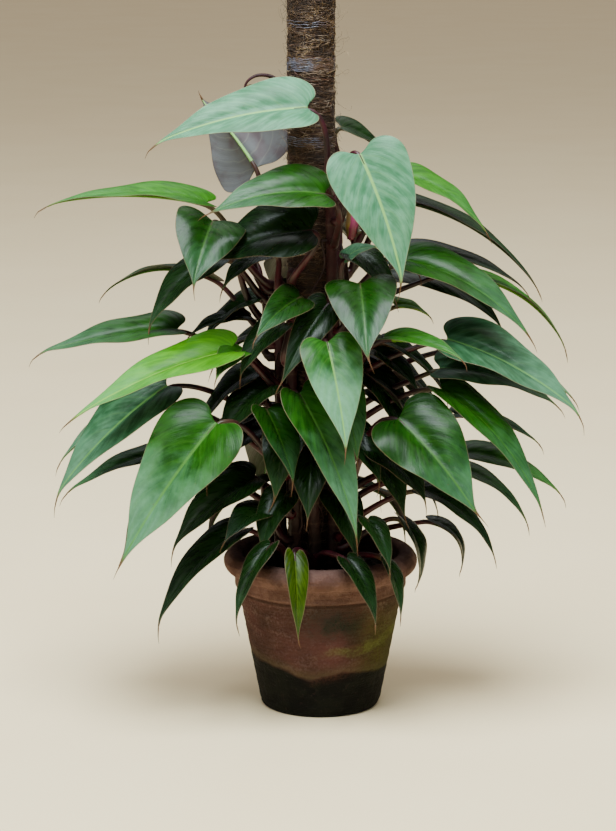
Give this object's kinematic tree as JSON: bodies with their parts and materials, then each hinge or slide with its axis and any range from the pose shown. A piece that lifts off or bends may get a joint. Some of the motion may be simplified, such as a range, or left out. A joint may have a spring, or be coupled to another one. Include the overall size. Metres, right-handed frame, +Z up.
{
  "type": "potted climbing philodendron",
  "caption": "Climbing plant with drooping heart-shaped pointed leaves on an upright fibre-wrapped pole, rooted in soil in a tapered clay pot with a collar and rolled rim.",
  "frame": {"origin": "centre of the pot's flat underside, on the ground", "axes": "+Z up along the pot's axis; +X to the right and -Y towards the viewer in the picture's view of the plant"},
  "size_m": [0.7096, 0.4018, 0.981],
  "materials": {
    "clay": "weathered unglazed earthenware with algae and a dark damp foot",
    "earth": "dark damp potting mix with bark pieces",
    "timber": "plain sawn stake",
    "coir": "tangled brown fibre",
    "twine": "dull blue-grey binding",
    "stem_bark": "dark maroon green stem",
    "new_growth": "smooth rolled new leaf",
    "leaf_bright": "waxy young green",
    "leaf_mid": "waxy middle green",
    "leaf_deep": "glossy near-black green",
    "leaf_silver": "grey-green with sky sheen"
  },
  "bodies": {
    "root": {"pot": "clay", "soil": "earth", "pole_core": "timber", "coir_wrap": "coir", "band_1": "twine", "band_2": "twine", "stem_front_right": "stem_bark", "stem_front_left": "stem_bark", "stem_left": "stem_bark", "stem_right": "stem_bark", "stem_back": "stem_bark", "stem_front": "stem_bark", "new_leaf": "new_growth", "leaf_01": "leaf_silver", "leaf_02": "leaf_silver", "leaf_03": "leaf_mid", "leaf_04": "leaf_mid", "leaf_05": "leaf_silver", "leaf_06": "leaf_mid", "leaf_07": "leaf_mid", "leaf_08": "leaf_mid", "leaf_09": "leaf_deep", "leaf_10": "leaf_mid", "leaf_11": "leaf_mid", "leaf_12": "leaf_bright", "leaf_13": "leaf_mid", "leaf_14": "leaf_mid", "leaf_15": "leaf_bright", "leaf_16": "leaf_mid", "leaf_17": "leaf_mid", "leaf_18": "leaf_deep", "leaf_19": "leaf_mid", "leaf_20": "leaf_bright", "leaf_21": "leaf_mid", "leaf_22": "leaf_deep", "leaf_23": "leaf_mid", "leaf_24": "leaf_mid", "leaf_25": "leaf_deep", "leaf_26": "leaf_bright", "leaf_27": "leaf_mid", "leaf_28": "leaf_mid", "leaf_29": "leaf_mid", "leaf_30": "leaf_mid", "leaf_31": "leaf_deep", "leaf_32": "leaf_deep", "leaf_33": "leaf_deep", "leaf_34": "leaf_mid", "leaf_35": "leaf_mid", "leaf_36": "leaf_deep", "leaf_37": "leaf_mid", "leaf_38": "leaf_deep", "leaf_39": "leaf_deep", "leaf_40": "leaf_deep", "leaf_41": "leaf_bright", "leaf_42": "leaf_silver", "leaf_43": "leaf_deep", "leaf_44": "leaf_mid", "leaf_45": "leaf_mid", "leaf_46": "leaf_mid", "leaf_47": "leaf_mid"}
  },
  "joints": []
}
